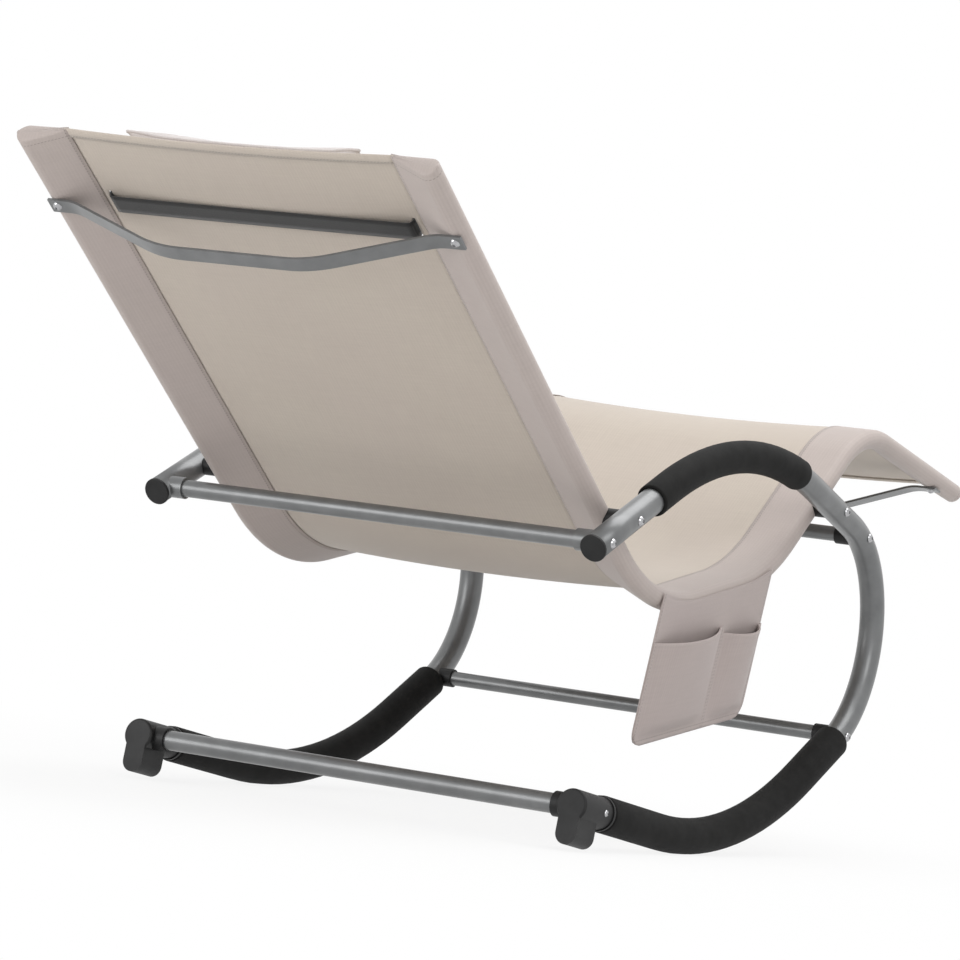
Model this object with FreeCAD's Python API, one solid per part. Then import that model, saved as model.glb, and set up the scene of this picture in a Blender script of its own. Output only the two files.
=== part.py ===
import FreeCAD, Part
import math
import os

from FreeCAD import Matrix, Placement, Vector

# A rocking chaise lounge. A textile sling is held by two bent seat rails, and the rails hang
# between two C-shaped tubes that are armrest, front post and rocker in one. Sizes are in mm.
# The chair is drawn with the end of its arm tubes at the origin, feet towards -Y, and the
# sitter's left at +X. At the end it is rocked back onto its rear feet, as it stands when empty.

# Side frames: one round tube each, arm first, then round the front and back along the floor.
frame_half_width = 300.0
frame_tube_od = 32.0
frame_tube_wall = 1.2
arm_start = (0.0, 0.0)
arm_corner = (-364.0, 161.5)
front_corner = (-1028.0, -68.0)
runner_corner = (-443.5, -366.5)
runner_end = (-25.0, -297.5)
arm_bend_radius = 541.0
front_bend_radius = 151.0
rocker_radius = 614.0

# Seat rails: the tubes inside the side sleeves of the sling, from the head to the feet.
rail_offset = 38.0
rail_half_width = frame_half_width - rail_offset
rail_tube_od = 22.0
rail_tube_wall = 1.2
head_end = (404.0, 393.5)
hip_corner = (-229.5, -77.5)
thigh_corner = (-531.0, -26.5)
knee_corner = (-775.5, 173.5)
foot_end = (-1098.5, 100.5)
hip_bend_radius = 270.0
thigh_bend_radius = 276.0
knee_bend_radius = 153.0
rail_end_inset = 7.0
plug_head = 2.0
plug_depth = 12.0

# Cross tubes between the two side frames.
rear_tube_od = 21.0
rear_tube_inset = 17.0
heel_tube_od = 24.0
heel_tube_inset = 13.0
front_tube_od = 19.0
front_upper_offset = 32.0
front_lower_offset = 13.0
cross_tube_wall = 1.2

# Saddles and spacers, moulded in black nylon.
saddle_rim = 2.6
saddle_floor = 6.0
saddle_lap = 8.0
spacer_od = 21.0
plug_length = 16.0

# Foam sleeves on the arms and on the runners.
arm_foam_od = 40.0
arm_foam_start = 143.0
arm_foam_end = 543.0
runner_foam_od = 44.0
runner_foam_gap = 1.0
foam_clearance = 0.3
rest_flat_depth = 0.5

# End caps of the arm tubes and the rear feet that hold the heel tube.
cap_flange = 3.5
cap_insert = 18.0
foot_socket_od = 39.0
foot_socket_length = 66.0
foot_back_wall = 9.0
foot_lobe_drop = 46.0
foot_lobe_width = 27.0
foot_lobe_length = 46.0
foot_lobe_wall = 3.0
foot_rib = 2.2
foot_collar_od = 30.0
foot_collar_reach = 12.0

# Sling: a taut panel sewn to two side sleeves.
fabric = 1.4
sleeve_gap = 0.3
sleeve_seam = 51.0
seam_height = 10.6
panel_sag = 6.0
seam_clearance = 0.3

# Flat bars, bowed clear of the head and the feet, that keep the rails apart.
bar_width = 20.0
bar_thickness = 3.0
bar_bow = 52.0
bar_flat_half = 98.0
bar_toe_inset = 24.0
bar_toe_half = rail_half_width - bar_toe_inset
bar_toe_radius = 60.0
bar_bow_radius = 160.0
head_bar_station = 107.0
foot_bar_station = 76.0

# Head pillow and its elastic strap, threaded through two slits in the panel.
pillow_width = 320.0
pillow_length = 160.0
pillow_thickness = 42.0
pillow_waist = 6.0
strap_station = 116.0
strap_width = 18.0
strap_thickness = 1.4
strap_slit_inset = 11.0
strap_slit_half = rail_half_width - sleeve_seam - strap_slit_inset
slit_clearance = 1.5

# Side pocket, sewn below the right rail.
pocket_back_station = 783.0
pocket_front_station = 1080.0
pocket_seam_height = 4.0
pocket_depth = 184.0
pocket_lean = 0.23
pocket_tuck = 4.5
pocket_small_length = 108.0
pocket_lip_large = 60.0
pocket_lip_small = 68.0
pocket_bulge_large = 20.0
pocket_bulge_small = 18.0
pocket_bottom_bulge = 5.0
pocket_seam = 7.0
pocket_bottom_seam = 10.0
pocket_corner_radius = 22.0
pocket_clearance = 0.3

# Bolts with domed heads and hexagon sockets, and their threaded inserts.
bolt_diameter = 6.0
bolt_head_diameter = 12.0
bolt_head_height = 3.6
bolt_key = 4.0
bolt_hole_clearance = 0.3
thread_clearance = 0.3
insert_od = 9.0
insert_length = 8.0
foot_screw_diameter = 4.0
foot_screw_head = 8.0
foot_screw_inset = 22.0
foot_screw_clearance = 0.2

# The angle, from the drawing above, at which the rear feet touch down behind the rockers.
rest_tilt = -2.5

X_AXIS = Vector(1, 0, 0)
frame_r = frame_tube_od / 2
rail_r = rail_tube_od / 2
sleeve_inner_r = rail_r + sleeve_gap
sleeve_outer_r = sleeve_inner_r + fabric
hole_r = bolt_diameter / 2 + bolt_hole_clearance
SIDES = {"left": 1, "right": -1}
pieces = {}


class Route:
    """A line in an upright plane: straight runs joined by arcs that touch both runs."""

    def __init__(self, corners, radii):
        points = [Vector(0, y, z) for y, z in corners]
        self.runs = []
        here = points[0]
        for before, corner, after, radius in zip(points, points[1:], points[2:], radii):
            come = (corner - before).normalize()
            go = (after - corner).normalize()
            turn = come.getAngle(go)
            reach = radius * math.tan(turn / 2)
            start = corner - come * reach
            end = corner + go * reach
            centre = corner + (go - come).normalize() * (radius / math.cos(turn / 2))
            self.runs.append((here, start, None, (start - here).Length))
            self.runs.append((start, end, centre, radius * turn))
            here = end
        self.runs.append((here, points[-1], None, (points[-1] - here).Length))
        self.length = sum(run[3] for run in self.runs)

    def run_start(self, index):
        """Distance along the route at which a run begins."""
        return sum(run[3] for run in self.runs[:index])

    def point_on(self, run, along):
        start, end, centre, length = run
        if centre is None:
            return start + (end - start) * (along / length)
        arm = start - centre
        axis = arm.cross(end - centre).normalize()
        angle = along / arm.Length
        return centre + arm * math.cos(angle) + axis.cross(arm) * math.sin(angle)

    def place(self, station, x=0.0):
        """Placement at a station: local x is +X, local y is the upper side, local z is forward."""
        begin = 0.0
        for run in self.runs:
            if station <= begin + run[3] or run is self.runs[-1]:
                break
            begin += run[3]
        along = station - begin
        point = self.point_on(run, along)
        if run[2] is None:
            ahead = (run[1] - run[0]).normalize()
        else:
            ahead = (run[0] - run[2]).cross(run[1] - run[2]).normalize().cross(point - run[2]).normalize()
        up = ahead.cross(X_AXIS)
        return Placement(Matrix(1, 0, 0, x,
                                0, up.y, ahead.y, point.y,
                                0, up.z, ahead.z, point.z,
                                0, 0, 0, 1))

    def wire(self, x, first, last):
        """The stretch between two stations, in the plane at x."""
        edges = []
        begin = 0.0
        shift = Vector(x, 0, 0)
        for run in self.runs:
            low = max(first, begin) - begin
            high = min(last, begin + run[3]) - begin
            begin += run[3]
            if high - low < 1e-6:
                continue
            a, b, c = (self.point_on(run, at) + shift for at in (low, (low + high) / 2, high))
            edges.append(Part.makeLine(a, c) if run[2] is None else Part.Arc(a, b, c).toShape())
        return Part.Wire(edges)


def sweep(path, profile, binormal=X_AXIS):
    shell = Part.BRepOffsetAPI.MakePipeShell(path)
    shell.setBiNormalMode(binormal)
    shell.add(profile)
    shell.build()
    shell.makeSolid()
    return shell.shape()


def rod(route, x, radius, first, last):
    """A solid round bar along a stretch of a route."""
    ring = Part.Wire([Part.makeCircle(radius)])
    ring.Placement = route.place(first, x)
    return sweep(route.wire(x, first, last), ring)


def tube(route, x, outer_r, inner_r, first, last):
    return rod(route, x, outer_r, first, last).cut(rod(route, x, inner_r, first, last))


def cross_rod(radius, x_from, x_to, at):
    """A round bar parallel to X, through the point at."""
    return Part.makeCylinder(radius, abs(x_to - x_from), Vector(min(x_from, x_to), at.y, at.z), X_AXIS)


def crossing(a, b, c, d):
    """Point where the straight lines ab and cd meet, in the side view."""
    (ay, az), (by, bz), (cy, cz), (dy, dz) = a, b, c, d
    det = (by - ay) * (dz - cz) - (bz - az) * (dy - cy)
    share = ((cy - ay) * (dz - cz) - (cz - az) * (dy - cy)) / det
    return Vector(0, ay + share * (by - ay), az + share * (bz - az))


def bolt(tip, head, reach, diameter, head_diameter, head_height, key):
    """A domed bolt whose head sits at the point head and points away from tip."""
    out = (head - tip).normalize()
    shank = Part.makeCylinder(diameter / 2, reach, head, out * -1)
    half = head_diameter / 2
    ball_r = (half ** 2 + head_height ** 2) / (2 * head_height)
    ball = Part.makeSphere(ball_r, head + out * (head_height - ball_r))
    disc = Part.makeCylinder(half, head_height, head, out)
    socket = Part.makeCylinder(key / 2, head_height * 0.55, head + out * (head_height * 0.5), out)
    return shank.fuse(disc.common(ball)).cut(socket).removeSplitter()


def ring_plug(outer_r, inner_r, x_from, x_to, at):
    low, high = sorted((x_from, x_to))
    return cross_rod(outer_r, low, high, at).cut(cross_rod(inner_r, low - 1, high + 1, at))


side_route = Route([arm_start, arm_corner, front_corner, runner_corner, runner_end],
                   [arm_bend_radius, front_bend_radius, rocker_radius])
rail_route = Route([head_end, hip_corner, thigh_corner, knee_corner, foot_end],
                   [hip_bend_radius, thigh_bend_radius, knee_bend_radius])

rear_crossing = crossing(head_end, hip_corner, arm_start, arm_corner)
front_crossing = crossing(thigh_corner, knee_corner, arm_corner, front_corner)
front_bend_start = side_route.run_start(3)
front_bend_end = side_route.run_start(4)
cross_stations = {
    "rear": (rear_tube_inset, rear_tube_od),
    "front_upper": (front_bend_start + front_upper_offset, front_tube_od),
    "front_lower": (front_bend_end - front_lower_offset, front_tube_od),
}
heel_point = side_route.place(side_route.length - heel_tube_inset).Base
foot_screw_point = side_route.place(side_route.length - foot_socket_length + foot_screw_inset).Base
head_bar_at = rail_route.place(head_bar_station)
foot_bar_at = rail_route.place(rail_route.length - foot_bar_station)
pocket_front_end = rail_route.place(pocket_front_station).multVec(Vector(0, pocket_seam_height, 0))
pocket_back_end = rail_route.place(pocket_back_station).multVec(Vector(0, pocket_seam_height, 0))
pocket_length = (pocket_back_end - pocket_front_end).Length


def local(at, x, up, along=0.0):
    """A point given in the local directions of a placement on a route."""
    return at.multVec(Vector(x, up, along))


def side_frame(side):
    """Bent side tube, drilled for the seat bolts and for the cross tube bolts."""
    x = side * frame_half_width
    body = tube(side_route, x, frame_r, frame_r - frame_tube_wall, 0, side_route.length)
    points = [rear_crossing, front_crossing] + [side_route.place(s).Base for s, _ in cross_stations.values()]
    for at in points:
        body = body.cut(cross_rod(hole_r, x - frame_tube_od, x + frame_tube_od, at))
    return body.cut(foot_screw_hole(side))


def foot_screw_hole(side):
    x = side * frame_half_width
    return cross_rod(foot_screw_diameter / 2 + foot_screw_clearance, x, x + side * foot_socket_od,
                     foot_screw_point)


def arm_end_cap(side):
    """Push-in cap with a domed flange and a ribbed insert."""
    at = side_route.place(0, side * frame_half_width)
    flange = Part.makeCylinder(frame_r + 0.6, cap_flange, Vector(0, 0, -cap_flange), Vector(0, 0, 1))
    flange = flange.makeFillet(1.4, [flange.Edges[2]])
    bore_r = frame_r - frame_tube_wall
    insert = Part.makeCylinder(bore_r - 1.2, cap_insert)
    for ring in range(3):
        insert = insert.fuse(Part.makeCylinder(bore_r - 0.2, 1.2, Vector(0, 0, 0.4 + 2.4 * ring)))
    insert = insert.cut(Part.makeCylinder(bore_r - 3.4, cap_insert, Vector(0, 0, 1)))
    insert = insert.cut(cross_rod(hole_r + 4, -frame_r, frame_r, Vector(0, 0, rear_tube_inset)))
    body = flange.fuse(insert).removeSplitter()
    body.Placement = at
    return body


def cross_tube(name):
    station, diameter = cross_stations[name]
    at = side_route.place(station).Base
    end = frame_half_width - frame_r - saddle_floor
    return ring_plug(diameter / 2, diameter / 2 - cross_tube_wall, -end, end, at)


def saddles(name):
    """Two cups that seat the ends of a cross tube against the round side tubes."""
    station, diameter = cross_stations[name]
    at = side_route.place(station).Base
    outer_r = diameter / 2 + saddle_rim
    tube_end = frame_half_width - frame_r - saddle_floor
    cups = []
    for side in SIDES.values():
        cup = cross_rod(outer_r, side * (tube_end - saddle_lap), side * (frame_half_width - frame_r / 2), at)
        cup = cup.cut(cross_rod(diameter / 2 + 0.1, 0, side * (tube_end + 0.1), at))
        cup = cup.cut(cross_rod(hole_r, 0, side * frame_half_width, at))
        reach = 2 * outer_r
        seat = rod(side_route, side * frame_half_width, frame_r + 0.1,
                   max(0, station - reach), station + reach)
        cups.append(cup.cut(seat))
    return Part.makeCompound(cups)


def tube_inserts(name):
    """Threaded plugs pressed into the ends of a cross tube."""
    station, diameter = cross_stations[name]
    at = side_route.place(station).Base
    end = frame_half_width - frame_r - saddle_floor - 0.3
    bore_r = diameter / 2 - cross_tube_wall
    plugs = [ring_plug(bore_r - 0.1, bolt_diameter / 2 + thread_clearance,
                       side * (end - plug_length), side * end, at)
             for side in SIDES.values()]
    return Part.makeCompound(plugs)


def cross_bolts(name):
    station = cross_stations[name][0]
    at = side_route.place(station).Base
    reach = 2 * frame_r + saddle_floor + plug_length * 0.7
    made = []
    for side in SIDES.values():
        head = Vector(side * (frame_half_width + frame_r + 0.1), at.y, at.z)
        made.append(bolt(at, head, reach, bolt_diameter, bolt_head_diameter, bolt_head_height, bolt_key))
    return Part.makeCompound(made)


def arm_foam(side):
    x = side * frame_half_width
    return tube(side_route, x, arm_foam_od / 2, frame_r + foam_clearance, arm_foam_start, arm_foam_end)


def runner_foam(side):
    x = side * frame_half_width
    station, diameter = cross_stations["front_lower"]
    first = station + diameter / 2 + saddle_rim + runner_foam_gap
    last = side_route.length - foot_socket_length - runner_foam_gap
    return tube(side_route, x, runner_foam_od / 2, frame_r + foam_clearance, first, last)


def rear_foot(side):
    """Moulded foot: a socket over the end of the runner, a collar for the heel tube and a hollow
    heel lobe, open at the front and ribbed, that stops the chair from tipping back."""
    x = side * frame_half_width
    end = side_route.length
    at = side_route.place(end, x)
    socket_r = foot_socket_od / 2
    body = Part.makeCylinder(socket_r, foot_socket_length + foot_back_wall,
                             Vector(0, 0, -foot_socket_length), Vector(0, 0, 1))
    body = body.makeFillet(3.0, [body.Edges[0]])
    rim = Part.makeCylinder(socket_r + 1.6, 4.0, Vector(0, 0, -foot_socket_length), Vector(0, 0, 1))
    lobe = heel_lobe(foot_lobe_width / 2, foot_lobe_drop, foot_lobe_length, foot_back_wall)
    hollow = heel_lobe(foot_lobe_width / 2 - foot_lobe_wall, foot_lobe_drop - foot_lobe_wall,
                       foot_lobe_length, foot_back_wall - foot_lobe_wall)
    rib = Part.makeBox(foot_rib, foot_lobe_drop, foot_lobe_length - 4,
                       Vector(-foot_rib / 2, 0, foot_back_wall - foot_lobe_length + 2))
    shell = lobe.cut(hollow.translated(Vector(0, 0, -foot_lobe_wall))).fuse(rib.common(lobe))
    body = body.fuse([rim, shell])
    body = body.cut(Part.makeCylinder(frame_r + 0.1, foot_socket_length + 0.1,
                                      Vector(0, 0, -foot_socket_length), Vector(0, 0, 1)))
    body.Placement = at
    inner_face = side * (frame_half_width - socket_r)
    collar_tip = inner_face - side * foot_collar_reach
    collar = cross_rod(foot_collar_od / 2, x, collar_tip, heel_point)
    collar = collar.cut(rod(side_route, x, frame_r + 0.1, end - foot_socket_length, end + 0.01))
    body = body.fuse(collar).removeSplitter()
    tube_stop = inner_face + side * 2.0
    body = body.cut(cross_rod(heel_tube_od / 2 + 0.1, tube_stop, collar_tip - side, heel_point))
    return body.cut(foot_screw_hole(side))


def heel_lobe(half_width, drop, length, back):
    """Upright slab with a rounded lower end, below the tube axis. Local +y is down on the runner."""
    lower = drop - half_width
    left = Vector(-half_width, 0, 0)
    right = Vector(half_width, 0, 0)
    edge = Part.Wire([
        Part.makeLine(left, Vector(-half_width, lower, 0)),
        Part.Arc(Vector(-half_width, lower, 0), Vector(0, drop, 0), Vector(half_width, lower, 0)).toShape(),
        Part.makeLine(Vector(half_width, lower, 0), right),
        Part.makeLine(right, left)])
    slab = Part.Face(edge).extrude(Vector(0, 0, length))
    return slab.translated(Vector(0, 0, back - length))


def foot_screws():
    made = []
    for side in SIDES.values():
        x = side * frame_half_width
        at = foot_screw_point
        head = Vector(x + side * (foot_socket_od / 2 + 0.1), at.y, at.z)
        reach = foot_socket_od / 2 - frame_r + frame_tube_wall + foot_screw_diameter
        made.append(bolt(at, head, reach, foot_screw_diameter, foot_screw_head, 2.4, 2.4))
    return Part.makeCompound(made)


def heel_tube():
    stop = frame_half_width - foot_socket_od / 2 + 1.9
    return ring_plug(heel_tube_od / 2, heel_tube_od / 2 - cross_tube_wall, -stop, stop, heel_point)


def bar_hole(at, x, up_from, up_to):
    """Drill through the underside of a rail, square to it, at a bar's placement."""
    axis = local(at, x, 1) - local(at, x, 0)
    return Part.makeCylinder(hole_r, up_to - up_from, local(at, x, up_from), axis)


def seat_rail(side):
    x = side * rail_half_width
    body = tube(rail_route, x, rail_r, rail_r - rail_tube_wall, rail_end_inset,
                rail_route.length - rail_end_inset)
    for at in (rear_crossing, front_crossing):
        body = body.cut(cross_rod(hole_r, x, x + side * rail_tube_od, at))
    for at in (head_bar_at, foot_bar_at):
        body = body.cut(bar_hole(at, x, -rail_tube_od, 0))
    return body


def rail_plugs():
    plugs = []
    bore_r = rail_r - rail_tube_wall
    for side in SIDES.values():
        x = side * rail_half_width
        for station, inward in ((rail_end_inset, 1), (rail_route.length - rail_end_inset, -1)):
            into = Vector(0, 0, inward)
            plug = Part.makeCylinder(rail_r, plug_head, into * -(plug_head + 0.1), into)
            plug = plug.fuse(Part.makeCylinder(bore_r - 0.1, plug_depth, into * -0.2, into))
            plug.Placement = rail_route.place(station, x)
            plugs.append(plug.removeSplitter())
    return Part.makeCompound(plugs)


def teardrop(side, radius, tip):
    """Section of a sleeve: round the rail and drawn to a seam, towards the middle of the chair."""
    seam = Vector(-side * tip, seam_height, 0)
    spread = math.acos(radius / seam.Length)
    lean = math.atan2(seam_height, tip)
    touch = []
    for angle in (lean + spread, lean - spread):
        touch.append(Vector(-side * radius * math.cos(angle), radius * math.sin(angle), 0))
    outside = Vector(side * radius * math.cos(lean), -radius * math.sin(lean), 0)
    return Part.Wire([Part.makeLine(seam, touch[0]),
                      Part.Arc(touch[0], outside, touch[1]).toShape(),
                      Part.makeLine(touch[1], seam)])


def side_sleeve(side):
    """Strip of sling fabric folded round a seat rail and sewn to the panel."""
    x = side * rail_half_width
    tip = sleeve_seam + 2 * fabric
    path = rail_route.wire(x, 0, rail_route.length)
    solids = []
    for radius, reach in ((sleeve_outer_r, tip), (sleeve_inner_r, tip - 5 * fabric)):
        section = teardrop(side, radius, reach)
        section.Placement = rail_route.place(0, x)
        solids.append(sweep(path, section))
    body = solids[0].cut(solids[1])
    trim = sleeve_section_box(side)
    trim.Placement = rail_route.place(0, x)
    body = body.cut(sweep(path, trim))
    for at in (rear_crossing, front_crossing):
        body = body.cut(cross_rod(hole_r, x, x + side * rail_tube_od, at))
    for at in (head_bar_at, foot_bar_at):
        body = body.cut(bar_hole(at, x, -rail_tube_od, 0))
    return body


def sleeve_section_box(side):
    """Section that trims the sharp tip of a sleeve at the seam line."""
    near = -side * sleeve_seam
    far = -side * (sleeve_seam + 4 * fabric)
    low = seam_height - 4 * fabric
    high = seam_height + 4 * fabric
    corners = [Vector(near, low), Vector(far, low), Vector(far, high), Vector(near, high), Vector(near, low)]
    return Part.makePolygon(corners)


def sling_panel():
    """Woven panel between the two sleeve seams, with a slight sag and two slits for the strap."""
    half = rail_half_width - sleeve_seam - seam_clearance
    top = seam_height + fabric / 2
    low = top - fabric
    section = Part.Wire([
        Part.Arc(Vector(-half, top, 0), Vector(0, top - panel_sag, 0), Vector(half, top, 0)).toShape(),
        Part.makeLine(Vector(half, top, 0), Vector(half, low, 0)),
        Part.Arc(Vector(half, low, 0), Vector(0, low - panel_sag, 0), Vector(-half, low, 0)).toShape(),
        Part.makeLine(Vector(-half, low, 0), Vector(-half, top, 0))])
    section.Placement = rail_route.place(0)
    body = sweep(rail_route.wire(0, 0, rail_route.length), section)
    at = rail_route.place(strap_station)
    for side in SIDES.values():
        slit = Part.makeBox(strap_thickness + 2 * slit_clearance, 4 * seam_height,
                            strap_width + 2 * slit_clearance,
                            Vector(side * strap_slit_half - strap_thickness / 2 - slit_clearance,
                                   -2 * seam_height, -strap_width / 2 - slit_clearance))
        slit.Placement = at
        body = body.cut(slit)
    return body


def seat_spacers(at):
    """Two blocks between the arm tubes and the sleeved rails, hollowed to seat on both."""
    blocks = []
    for side in SIDES.values():
        block = cross_rod(spacer_od / 2, side * rail_half_width, side * frame_half_width, at)
        block = block.cut(cross_rod(hole_r, 0, side * frame_half_width, at))
        frame_seat = rod(side_route, side * frame_half_width, frame_r + 0.1, 0, front_bend_end)
        section = teardrop(side, sleeve_outer_r + 0.2, sleeve_seam)
        section.Placement = rail_route.place(0, side * rail_half_width)
        rail_seat = sweep(rail_route.wire(side * rail_half_width, 0, rail_route.length), section)
        blocks.append(block.cut(frame_seat).cut(rail_seat))
    return Part.makeCompound(blocks)


def seat_bolts():
    made = []
    reach = 2 * frame_r + (frame_half_width - frame_r - rail_half_width) - rail_r / 2 + 1
    for at in (rear_crossing, front_crossing):
        for side in SIDES.values():
            head = Vector(side * (frame_half_width + frame_r + 0.1), at.y, at.z)
            made.append(bolt(at, head, reach, bolt_diameter, bolt_head_diameter, bolt_head_height, bolt_key))
    return Part.makeCompound(made)


def seat_inserts():
    """Threaded inserts inside the rails, behind the wall that faces the arm tube."""
    made = []
    for at in (rear_crossing, front_crossing):
        for side in SIDES.values():
            wall = side * (rail_half_width + rail_r - rail_tube_wall - 1.3)
            made.append(ring_plug(insert_od / 2, bolt_diameter / 2 + thread_clearance,
                                  wall, wall - side * insert_length, at))
    return Part.makeCompound(made)


def spreader_bar(at):
    """Flat steel bar, bowed away from the sling, with a hole at each end."""
    level = -sleeve_outer_r - 0.2 - bar_thickness / 2
    half = rail_half_width + bar_width / 2
    corners = [(-half, level), (-bar_toe_half, level), (-bar_flat_half, level - bar_bow),
               (bar_flat_half, level - bar_bow), (bar_toe_half, level), (half, level)]
    bow = Route(corners, [bar_toe_radius, bar_bow_radius, bar_bow_radius, bar_toe_radius])
    path = bow.wire(0, 0, bow.length)
    section = Part.makePolygon([Vector(sx * bar_width / 2, sy * bar_thickness / 2)
                                for sx, sy in ((-1, -1), (1, -1), (1, 1), (-1, 1), (-1, -1))])
    section.Placement = bow.place(0)
    bar = sweep(path, section)
    turned = Placement(Matrix(0, 1, 0, 0,
                              0, 0, 1, 0,
                              1, 0, 0, 0,
                              0, 0, 0, 1))
    bar.Placement = at.multiply(turned)
    for side in SIDES.values():
        x = side * rail_half_width
        bar = bar.cut(bar_hole(at, x, level - bar_thickness, level + bar_thickness))
    return bar


def bar_bolts():
    made = []
    level = -sleeve_outer_r - 0.3 - bar_thickness
    for at in (head_bar_at, foot_bar_at):
        for side in SIDES.values():
            x = side * rail_half_width
            made.append(bolt(local(at, x, 0), local(at, x, level), -level, bolt_diameter,
                             bolt_head_diameter, bolt_head_height, bolt_key))
    return Part.makeCompound(made)


def bar_inserts():
    made = []
    level = -rail_r + rail_tube_wall + 1.3
    for at in (head_bar_at, foot_bar_at):
        for side in SIDES.values():
            x = side * rail_half_width
            base = local(at, x, level)
            up = local(at, x, level + 1) - base
            plug = Part.makeCylinder(insert_od / 2, insert_length, base, up)
            thread = Part.makeCylinder(bolt_diameter / 2 + thread_clearance, insert_length + 2, base - up, up)
            made.append(plug.cut(thread))
    return Part.makeCompound(made)


def pillow():
    """Crowned cushion with drawn-in sides, lying on the panel at the head."""
    half_width = pillow_width / 2
    middle = seam_height + fabric / 2 + 0.4 + pillow_thickness / 2
    sections = []
    for share, swell in ((-1, 0.12), (-0.78, 0.62), (0, 1), (0.78, 0.62), (1, 0.12)):
        half_length = pillow_length / 2 - pillow_waist * (1 - abs(share))
        crown = swell * pillow_thickness / 2
        rim = 0.12 * crown
        x = share * half_width
        sections.append(Part.Wire([
            Part.Arc(Vector(x, middle + rim, -half_length), Vector(x, middle + crown, 0),
                     Vector(x, middle + rim, half_length)).toShape(),
            Part.makeLine(Vector(x, middle + rim, half_length), Vector(x, middle - rim, half_length)),
            Part.Arc(Vector(x, middle - rim, half_length), Vector(x, middle - crown, 0),
                     Vector(x, middle - rim, -half_length)).toShape(),
            Part.makeLine(Vector(x, middle - rim, -half_length), Vector(x, middle + rim, -half_length))]))
    body = Part.makeLoft(sections, True, False)
    body.Placement = rail_route.place(strap_station)
    return body


def pillow_strap():
    """Elastic strap: from one end of the pillow, through a slit, behind the panel and back."""
    middle = seam_height + fabric / 2 + 0.4 + pillow_thickness / 2
    back = seam_height - fabric / 2 - panel_sag - strap_thickness
    start = pillow_width / 2 + 0.4
    corners = [(start, middle), (strap_slit_half, middle - 12), (strap_slit_half, back),
               (-strap_slit_half, back), (-strap_slit_half, middle - 12), (-start, middle)]
    line = Route(corners, [5.0, 3.0, 3.0, 5.0])
    section = Part.makePolygon([Vector(sx * strap_width / 2, sy * strap_thickness / 2)
                                for sx, sy in ((-1, -1), (1, -1), (1, 1), (-1, 1), (-1, -1))])
    section.Placement = line.place(0)
    strap = sweep(line.wire(0, 0, line.length), section)
    turned = Placement(Matrix(0, 1, 0, 0,
                              0, 0, 1, 0,
                              1, 0, 0, 0,
                              0, 0, 0, 1))
    strap.Placement = rail_route.place(strap_station).multiply(turned)
    return strap


def pocket_frame():
    """Local frame at the front end of the sewn top edge: x rearward, y down, z out of the chair.
    The pocket's plane touches the sleeve where the rail dips lowest below the straight top edge."""
    back = (pocket_back_end - pocket_front_end).normalize()
    turn = math.radians(pocket_tuck)
    straight_down = Vector(0, back.z, -back.y)
    down = straight_down * math.cos(turn) + X_AXIS * math.sin(turn)
    out = back.cross(down)
    run = pocket_front_station - pocket_back_station
    rail_line = [rail_route.place(pocket_back_station + run * step / 24).Base for step in range(25)]
    dip = max((point - pocket_front_end).dot(straight_down) for point in rail_line)
    x = -(rail_half_width + (sleeve_outer_r + pocket_clearance) / math.cos(turn) + dip * math.tan(turn))
    return Placement(Matrix(back.x, down.x, out.x, x,
                            back.y, down.y, out.y, pocket_front_end.y,
                            back.z, down.z, out.z, pocket_front_end.z,
                            0, 0, 0, 1))


def on_pocket(x, depth, level):
    """A point of the pocket: its sides lean rearward as they go down."""
    return Vector(x + pocket_lean * depth, depth, level)


def pocket_outline(lip, level):
    """Sheet outline with two rounded lower corners, from the lip down."""
    r = pocket_corner_radius
    k = r * (1 - math.sqrt(0.5))
    a, b = pocket_length, pocket_depth
    points = [(0, lip), (a, lip), (a, b - r), (a - k, b - k), (a - r, b), (r, b), (k, b - k), (0, b - r)]
    p = [on_pocket(x, depth, level) for x, depth in points]
    return Part.Wire([
        Part.makeLine(p[0], p[1]), Part.makeLine(p[1], p[2]), Part.Arc(p[2], p[3], p[4]).toShape(),
        Part.makeLine(p[4], p[5]), Part.Arc(p[5], p[6], p[7]).toShape(), Part.makeLine(p[7], p[0])])


def pocket_back():
    """Back panel, its top edge cut to the curve of the sleeve it is sewn to."""
    sheet = Part.Face(pocket_outline(0.0, 0.0)).extrude(Vector(0, 0, fabric))
    sheet.Placement = pocket_frame()
    x = -(rail_half_width + rail_tube_od)
    above = Part.makePolygon([Vector(sx * rail_tube_od, level) for sx, level in (
        (-1, pocket_seam_height), (1, pocket_seam_height), (1, pocket_depth / 2), (-1, pocket_depth / 2),
        (-1, pocket_seam_height))])
    margin = pocket_depth / 2
    first = pocket_back_station - margin
    above.Placement = rail_route.place(first, x)
    return sheet.cut(sweep(rail_route.wire(x, first, pocket_front_station + margin), above))


def compartment(first, last, lip, bottom, bulge, bottom_bulge, level):
    """Wedge-shaped body of one compartment, wide at the lip and flat at the bottom seam."""
    wires = []
    for depth, swell in ((lip, bulge), (bottom, bottom_bulge)):
        start, end = on_pocket(first, depth, level), on_pocket(last, depth, level)
        middle = on_pocket((first + last) / 2, depth, level + swell)
        wires.append(Part.Wire([Part.Arc(start, middle, end).toShape(), Part.makeLine(end, start)]))
    return Part.makeLoft(wires, True, True)


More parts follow.
